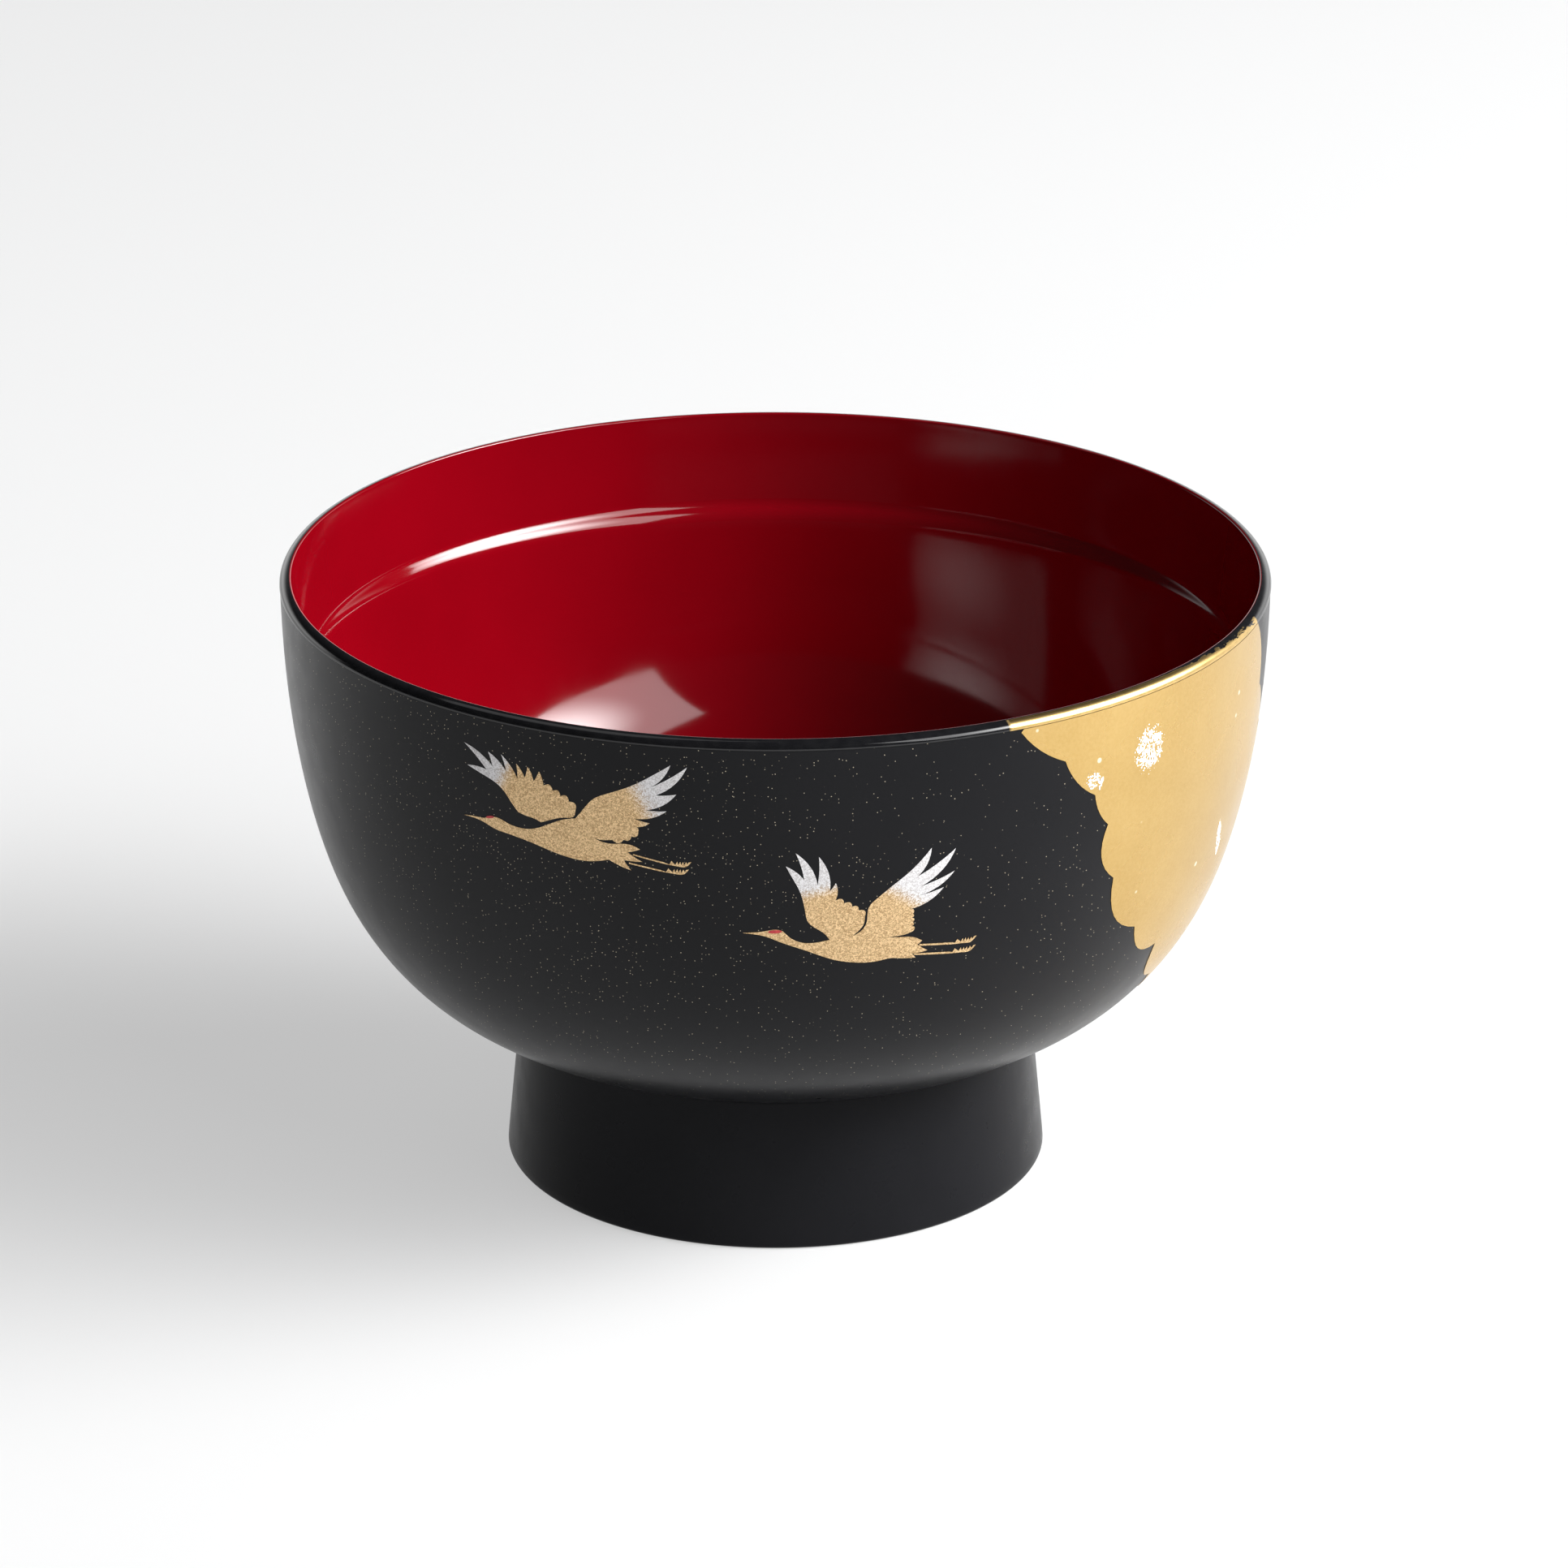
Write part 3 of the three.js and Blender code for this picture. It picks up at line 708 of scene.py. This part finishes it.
def laid(name, flat, faces, place, bottom, top, material, *replaced, slot, fades=()):
    """A thin closed layer on the wall, from flat triangles.

    Each fade has the points where the silvering starts and is complete.
    """
    count = len(flat)
    points = np.vstack([on_wall(flat, place, top), on_wall(flat, place, bottom)])
    sides = {}
    for face in faces:
        sides.update(dict.fromkeys(zip(face, face[1:] + face[:1])))
    rim = [(a, b) for a, b in sides if (b, a) not in sides]
    shell = [list(face) for face in faces]
    shell += [[i + count for i in reversed(face)] for face in faces]
    shell += [[b, a, a + count, b + count] for a, b in rim]
    piece = finished(name, points, shell, material, *replaced, slot=slot)
    silver = np.zeros(count)
    for start, end in fades:
        axis = np.array(end, float) - np.array(start, float)
        silver = np.maximum(silver, np.clip((flat - start) @ axis / (axis @ axis), 0, 1))
    if fades:
        attribute = piece.data.attributes.new("silver", "FLOAT", "POINT")
        attribute.data.foreach_set("value", np.tile(silver, 2).astype(np.float32))
    return piece


def leaf(name, outline, place, material, *replaced, slot, cell=0.8, fades=(),
         bottom=LEAF_BOTTOM, top=LEAF_TOP):
    """Leaf or powder in a drawn outline."""
    flat, faces = filled(outline, cell)
    return laid(name, flat, faces, place, bottom, top, material, *replaced, slot=slot, fades=fades)


# The gold cloud, falling from the lip round the right-hand side
CLOUD = {"azimuth": 0, "height": 0, "girth": 57.3}

gold_cloud = outline_of(
    lobes(0.09, (26.6, 73.4), (33.9, 66.6), (38.4, 61.5), (40.8, 57.3)),
    lobes(0.2, (40.8, 57.3), (42.9, 50), (49.3, 41.7), (56.6, 37), (63, 30.5), (73, 27.5),
          (84, 26.5)),
    lobes(0.2, (84, 26.5), (95, 29.5), (101, 37), (97.5, 45), (89, 50.5), (81, 56)),
    lobes(0.12, (81, 56), (76.5, 63), (73, WALL_TOP)),
    [(72, WALL_TOP), (28.3, WALL_TOP)],
)
gold_cloud = gold_cloud[gold_cloud[:, 1] <= WALL_TOP]
leaf("cloud_leaf", gold_cloud, CLOUD, GOLD_LEAF, "gold_cloud", slot="gold_leaf", cell=1.0)


def mottled(centre, half_width, half_height, lean, cover, seed, cell=0.08):
    """An oval of separate flakes: the parts of a fine grid where a noise is high."""
    across = math.ceil(1.3 * half_width / cell)
    up = math.ceil(1.3 * half_height / cell)

    def strength(i, j):
        """Above zero inside a flake."""
        x, y = i * cell, j * cell
        oval = math.hypot((x - lean * y) / half_width, y / half_height)
        coarse = noise.noise(Vector((x * 1.4, y * 1.4, seed)))
        fine = noise.noise(Vector((x * 4.6, y * 4.6, seed + 7.0)))
        return cover + 0.8 * coarse + 1.5 * fine - 4.0 * max(0.0, oval - 0.55) ** 1.5

    points, faces, known = [], [], {}

    def point(key, x, y):
        """The number of a grid corner or of a cut on a grid edge, made once."""
        if key not in known:
            known[key] = len(points)
            points.append((centre[0] + x * cell, centre[1] + y * cell))
        return known[key]

    field = {(i, j): strength(i, j) for i in range(-across, across + 1) for j in range(-up, up + 1)}
    for i in range(-across, across):
        for j in range(-up, up):
            ring = [(i, j), (i + 1, j), (i + 1, j + 1), (i, j + 1)]
            face = []
            for a, b in zip(ring, ring[1:] + ring[:1]):
                here, there = field[a], field[b]
                if here > 0:
                    face.append(point(a, *a))
                if (here > 0) != (there > 0):
                    share = min(max(here / (here - there), LEAST_CUT), 1 - LEAST_CUT)
                    key = tuple(sorted((a, b)))
                    cut = [start + share * (end - start) for start, end in zip(a, b)]
                    face.append(point(key, *cut))
            if len(face) >= 3:
                faces.append(face)
    return np.array(points), faces


def fleck(name, centre, half_width, half_height, lean, cover, seed, replaced):
    """A mottled fleck laid on the cloud."""
    flat, faces = mottled(centre, half_width, half_height, lean, cover, seed)
    laid(name, flat, faces, CLOUD, FLECK_BOTTOM, FLECK_TOP, PALE_LEAF_AND_PAINTED_REFLECTION, replaced, slot="pale_leaf")


fleck("fleck_oval", (46.7, 65), 2.9, 3.2, 0.0, 0.08, 1.0, "pale_fleck_oval")
fleck("fleck_corner", (38.2, 63.2), 1.5, 1.5, -0.3, 0.05, 4.0, "pale_fleck_corner")
# A painted reflection: a narrow pale streak of flakes laid where a streak of reflected light lies on the
# gold.
fleck("painted_reflection_streak", (67.5, 47), 0.9, 3.4, -0.5, 0.30, 9.0, "pale_fleck_streak")


# A crane's leg: places along it as shares of its length, then millimetres above the heel
ANKLE_SHARE = 0.55
HEEL_SHARE = 0.78
FOOT_SHARE = 0.12
TOE_SHARES = (0.87, 0.82, 0.77, 0.72, 0.62)
CLAW_RISE = 0.5
TOE_LEAN = 0.26
TOE_RISE = 0.46


def leg_outline(start, length, drop, thickness=0.15):
    """A thin leg from the tail to its claw, with a row of short toes along its foot."""
    x, y = start
    ankle = (x + length * ANKLE_SHARE, y - drop * 0.8)
    heel = (x + length * HEEL_SHARE, y - drop)
    toe = heel[0] + length * FOOT_SHARE
    claw = (x + length, heel[1] + CLAW_RISE)
    toes = []
    for share in TOE_SHARES:
        root = x + length * share
        toes += [(root + TOE_LEAN, heel[1] + TOE_RISE), (root + 0.02, heel[1] + 0.02)]
    return outline_of(
        [(x, y - thickness), (ankle[0], ankle[1] - thickness), (heel[0], heel[1] - thickness)],
        smooth([(heel[0], heel[1] - thickness), (toe, heel[1] - thickness), claw]),
        [(claw[0] - 0.3, claw[1] - 0.04), (claw[0] - 0.45, heel[1] + 0.15)],
        toes,
        [(ankle[0] - 0.1, ankle[1] + 0.04), (x, y)],
    )


def crown_outline(centre, half_width, half_height, lean, points=28):
    """The red patch on a crane's head: a leaning oval."""
    angles = np.linspace(0, 2 * math.pi, points, endpoint=False)
    across, up = half_width * np.cos(angles), half_height * np.sin(angles)
    return np.column_stack([centre[0] + across, centre[1] + up + lean * across])


# The crane flying higher, on the left
LEFT_CRANE = {"azimuth": -22, "height": 56, "girth": 56.2}

left_body = outline_of(
    smooth([(-14.9, 3.4), (-12.2, 3.15), (-10.9, 2.7), (-9.2, 2.45), (-7.4, 2.2), (-5.8, 1.9), (-3.8, 1.4),
            (-1.8, 1.0), (-0.2, 0.85), (1.3, 0.95), (3.2, 1.4)]),
    feathers(0.03, (3.2, 1.4), (5.7, 0.4), (4.9, 1.6), (7.0, 1.6), (5.4, 2.6), (6.8, 3.1)),
    smooth([(6.8, 3.1), (5.9, 3.5), (4.3, 3.5), (3.3, 3.4), (1.2, 3.95)]),
    smooth([(1.2, 3.95), (2.0, 3.75), (3.7, 3.9)]),
    lobes(0.32, (3.7, 3.9), (5.0, 4.1), (5.9, 4.6), (6.7, 5.2), (6.3, 5.8)),
    feathers(0.1, (6.3, 5.8), (8.0, 6.4), (6.2, 6.8), (9.9, 8.0), (7.6, 7.95), (11.0, 10.1), (8.7, 9.8)),
    feathers(0.1, (8.7, 9.8), (12.2, 13.4), (7.8, 10.5), (10.4, 13.5)),
    smooth([(10.4, 13.5), (8.8, 12.4), (6.1, 10.7), (3.5, 9.5), (1.6, 8.5), (0.5, 7.2), (-0.5, 5.9)]),
    smooth([(-0.5, 5.9), (-1.7, 5.6), (-3.1, 5.0), (-4.8, 4.1), (-6.2, 3.6), (-7.7, 3.5), (-8.9, 3.7),
            (-10.2, 4.1), (-11.3, 4.0), (-12.1, 3.7), (-13.3, 3.6), (-14.9, 3.4)]),
)
left_far_wing = outline_of(
    smooth([(-4.7, 4.7), (-3.1, 5.4), (-1.7, 5.8), (-0.7, 6.1), (-0.45, 6.9)]),
    lobes(0.4, (-0.45, 6.9), (-1.2, 7.8), (-2.2, 8.3), (-3.1, 8.8), (-4.2, 9.2)),
    feathers(0.07, (-4.2, 9.2), (-4.7, 10.8), (-5.4, 9.5), (-6.1, 11.1), (-6.5, 9.7), (-7.5, 11.2),
             (-7.4, 9.4)),
    feathers(0.07, (-7.4, 9.4), (-9.4, 11.9), (-8.8, 10.0), (-11.1, 11.9), (-10.6, 10.3), (-14.3, 12.3)),
    bowed((-14.3, 12.3), (-11.4, 9.7), -0.03),
    bowed((-11.4, 9.7), (-14.0, 9.7), 0.05),
    smooth([(-14.0, 9.7), (-11.6, 8.9), (-10.5, 8.5), (-9.5, 7.85), (-8.9, 7.2), (-8.1, 6.1), (-7.5, 5.4)]),
    smooth([(-7.5, 5.4), (-6.5, 5.15), (-5.5, 5.0), (-4.7, 4.7)]),
)
leaf("left_crane", left_body, LEFT_CRANE, GOLD_POWDER, "left_crane_body", slot="gold_powder",
     fades=[((5.4, 8.3), (9.0, 10.1))])
leaf("left_crane_wing", left_far_wing, LEFT_CRANE, GOLD_POWDER, "left_crane_far_wing", slot="gold_powder",
     fades=[((-7.9, 8.7), (-10.6, 10.2))])
leaf("left_crane_cap", crown_outline((-11.3, 3.98), 0.55, 0.16, 0.25), LEFT_CRANE, RED_PAINT,
     "left_crane_crown", slot="red_paint", cell=0.3, bottom=FLECK_BOTTOM, top=FLECK_TOP)
leaf("left_crane_upper_leg", leg_outline((6.0, 2.45), 6.5, 0.9), LEFT_CRANE, GOLD_POWDER,
     "left_crane_leg_upper", slot="gold_powder", cell=0.3)
leaf("left_crane_lower_leg", leg_outline((5.5, 1.35), 6.7, 0.75), LEFT_CRANE, GOLD_POWDER,
     "left_crane_leg_lower", slot="gold_powder", cell=0.3)

# The crane flying lower, on the right, with both wings joined to its body
RIGHT_CRANE = {"azimuth": 10, "height": 43, "girth": 53.6}

right_body = outline_of(
    smooth([(-12.8, 6.4), (-11.6, 6.25), (-10.3, 5.95), (-9.3, 5.5), (-8.1, 4.95), (-7.0, 4.5), (-5.6, 3.9),
            (-4.2, 3.25), (-2.8, 2.7), (-1.0, 2.3), (0.8, 2.15), (2.3, 2.3), (3.2, 2.45), (4.5, 2.3),
            (6.1, 2.2)]),
    bowed((6.1, 2.2), (5.6, 2.8), 0.03),
    feathers(0.05, (5.6, 2.8), (7.4, 3.0), (6.2, 3.9), (6.7, 4.35)),
    smooth([(6.7, 4.35), (5.7, 4.9), (4.3, 5.1), (2.9, 5.2)]),
    smooth([(2.9, 5.26), (4.1, 5.32), (4.9, 5.45), (5.6, 5.75)]),
    lobes(0.42, (5.6, 5.75), (5.3, 6.4), (5.5, 6.9), (5.25, 7.5), (5.45, 8.0), (5.1, 8.6)),
    feathers(0.1, (5.1, 8.6), (8.7, 10.9), (5.9, 10.2), (9.8, 12.8), (6.15, 11.35)),
    feathers(0.1, (6.15, 11.35), (9.8, 15.6), (5.7, 12.6), (7.1, 16.0)),
    smooth([(7.1, 16.0), (6.1, 14.7), (4.7, 13.2), (3.0, 11.75), (1.5, 10.4), (0.75, 9.6), (0.5, 8.9),
            (0.45, 7.6), (0.0, 6.5), (-0.95, 5.75)]),
    smooth([(-0.95, 5.85), (-0.35, 6.45), (0.1, 7.2), (0.2, 8.2)]),
    lobes(0.4, (0.2, 8.2), (-0.5, 9.0), (-1.2, 9.5), (-2.05, 9.95), (-3.0, 10.4)),
    feathers(0.1, (-3.0, 10.4), (-3.0, 12.6), (-3.6, 11.6), (-4.8, 15.9), (-4.9, 12.4), (-7.2, 16.4),
             (-6.3, 13.1)),
    bowed((-6.3, 13.1), (-8.2, 14.8), 0.06),
    smooth([(-8.2, 14.8), (-7.5, 13.3), (-6.8, 11.8), (-6.4, 10.4), (-6.15, 9.0), (-5.85, 7.8), (-5.2, 7.1),
            (-4.5, 6.6), (-3.85, 5.95), (-3.5, 5.4)]),
    smooth([(-3.5, 5.4), (-4.6, 5.15), (-5.7, 5.05), (-6.7, 5.2), (-7.5, 5.6), (-8.05, 6.1), (-8.5, 6.6),
            (-9.2, 6.85), (-10.0, 6.75), (-10.7, 6.6), (-12.8, 6.4)]),
)
leaf("right_crane", right_body, RIGHT_CRANE, GOLD_POWDER, "right_crane_body", slot="gold_powder",
     fades=[((3.1, 9.4), (4.9, 12.0)), ((-4.9, 10.2), (-5.6, 12.8))])
leaf("right_crane_cap", crown_outline((-9.35, 6.6), 0.74, 0.21, 0.05), RIGHT_CRANE, RED_PAINT,
     "right_crane_crown", slot="red_paint", cell=0.3, bottom=FLECK_BOTTOM, top=FLECK_TOP)
leaf("right_crane_upper_leg", leg_outline((6.45, 3.9), 6.6, 0.45, 0.2), RIGHT_CRANE, GOLD_POWDER,
     "right_crane_leg_upper", slot="gold_powder", cell=0.3)
leaf("right_crane_lower_leg", leg_outline((5.9, 2.75), 7.2, 0.5, 0.2), RIGHT_CRANE, GOLD_POWDER,
     "right_crane_leg_lower", slot="gold_powder", cell=0.3)


# ---- floor, light and camera ----

FLOOR_RADIUS = 4.0
LIGHT_TARGET = Vector((0, 0, 0.05))


def floor():
    """A plain pale floor, with a faint unevenness of tone."""
    material, tree, shader, place = started("pale_floor")
    cloudy = noisy(tree, place, 2.0)
    set_inputs(
        tree, shader,
        Base_Color=mixed(tree, cloudy, rgb(0.33, 0.332, 0.334), rgb(0.35, 0.35, 0.35)),
        Roughness=0.9,
        Specular_IOR_Level=0.1,
        Emission_Color=rgb(1.0, 1.0, 1.0),
        Emission_Strength=0.5,
    )
    turn = np.linspace(0, 2 * math.pi, FLOOR_SIDES, endpoint=False)
    points = [(FLOOR_RADIUS * math.cos(a), FLOOR_RADIUS * math.sin(a), 0) for a in turn]
    mesh = bpy.data.meshes.new("floor")
    mesh.from_pydata(points, [], [list(range(FLOOR_SIDES))])
    mesh.materials.append(material)
    plane = bpy.data.objects.new("floor", mesh)
    bpy.context.scene.collection.objects.link(plane)


def softbox(name, azimuth, elevation, distance, width, height, radiance,
            hot_spot=(0.5, 0.5), hot_size=(0.5, 0.5), edge=1.0):
    """A rectangular soft light aimed at the bowl, fading from its hot spot to a share at its edge.

    Azimuth 0 is the camera's side and 90 is +X. The hot spot's place and size are shares of the
    width and height.
    """
    light = bpy.data.lights.new(name, "AREA")
    light.shape = "RECTANGLE"
    light.size = width
    light.size_y = height
    light.energy = radiance * math.pi * width * height
    light.use_nodes = True
    tree = light.node_tree
    spot = make(tree, "SeparateXYZ", Vector=make(tree, "NewGeometry").outputs["Parametric"])
    offsets = []
    for axis, middle, size in zip("XY", hot_spot, hot_size):
        beside = sums(tree, "SUBTRACT", spot.outputs[axis], middle)
        offset = sums(tree, "MULTIPLY", beside, 1.0 / size)
        offsets.append(sums(tree, "MULTIPLY", offset, offset))
    away = sums(tree, "SQRT", sums(tree, "ADD", *offsets))
    strength = ranged(tree, away, 0.0, 1.0, 1.0, edge)
    connect(tree, tree.nodes["Emission"].inputs["Strength"], strength)
    lamp = bpy.data.objects.new(name, light)
    bpy.context.scene.collection.objects.link(lamp)
    a, e = math.radians(azimuth), math.radians(elevation)
    back = Vector((math.sin(a) * math.cos(e), -math.cos(a) * math.cos(e), math.sin(e)))
    lamp.location = LIGHT_TARGET + back * distance
    lamp.rotation_mode = "QUATERNION"
    lamp.rotation_quaternion = back.to_track_quat("Z", "Y")
    lamp.visible_camera = False


def studio():
    """A dark room with a low white backdrop behind the bowl."""
    world = bpy.data.worlds.new("studio")
    bpy.context.scene.world = world
    world.use_nodes = True
    tree = world.node_tree
    direction = make(tree, "SeparateXYZ", Vector=make(tree, "TexCoord").outputs["Generated"])
    height = direction.outputs["Z"]
    behind = sums(
        tree, "MULTIPLY",
        ranged(tree, direction.outputs["Y"], 0.35, 0.60),
        ranged(tree, height, 0.15, 0.35, 1.0, 0.0))
    shade = mixed(tree, behind, rgb(0.022, 0.022, 0.024), rgb(1.3, 1.3, 1.3))
    connect(tree, tree.nodes["Background"].inputs["Color"], shade)


floor()
softbox(
    "key_softbox", azimuth=70, elevation=35, distance=1.4, width=1.96, height=0.78,
    radiance=37.0, hot_spot=(0.62, 0.45), hot_size=(0.46, 0.6), edge=0.12)
softbox(
    "top_softbox", azimuth=-130, elevation=65, distance=1.2, width=0.6, height=0.6, radiance=0.6)
studio()

CAMERA_DISTANCE = 0.811
CAMERA_ELEVATION = math.radians(21.38)
CAMERA_TARGET = Vector((0.0010, 0.0, 0.0453))
camera_data = bpy.data.cameras.new("camera")
camera_data.sensor_width = 36.0
camera_data.lens = 158.4
camera_data.clip_end = 50.0
camera = bpy.data.objects.new("camera", camera_data)
bpy.context.scene.collection.objects.link(camera)
camera_back = Vector((0.0, -math.cos(CAMERA_ELEVATION), math.sin(CAMERA_ELEVATION)))
camera.location = CAMERA_TARGET + camera_back * CAMERA_DISTANCE
camera.rotation_mode = "QUATERNION"
camera.rotation_quaternion = camera_back.to_track_quat("Z", "Y")
bpy.context.scene.camera = camera
bpy.context.scene.view_settings.view_transform = "Standard"
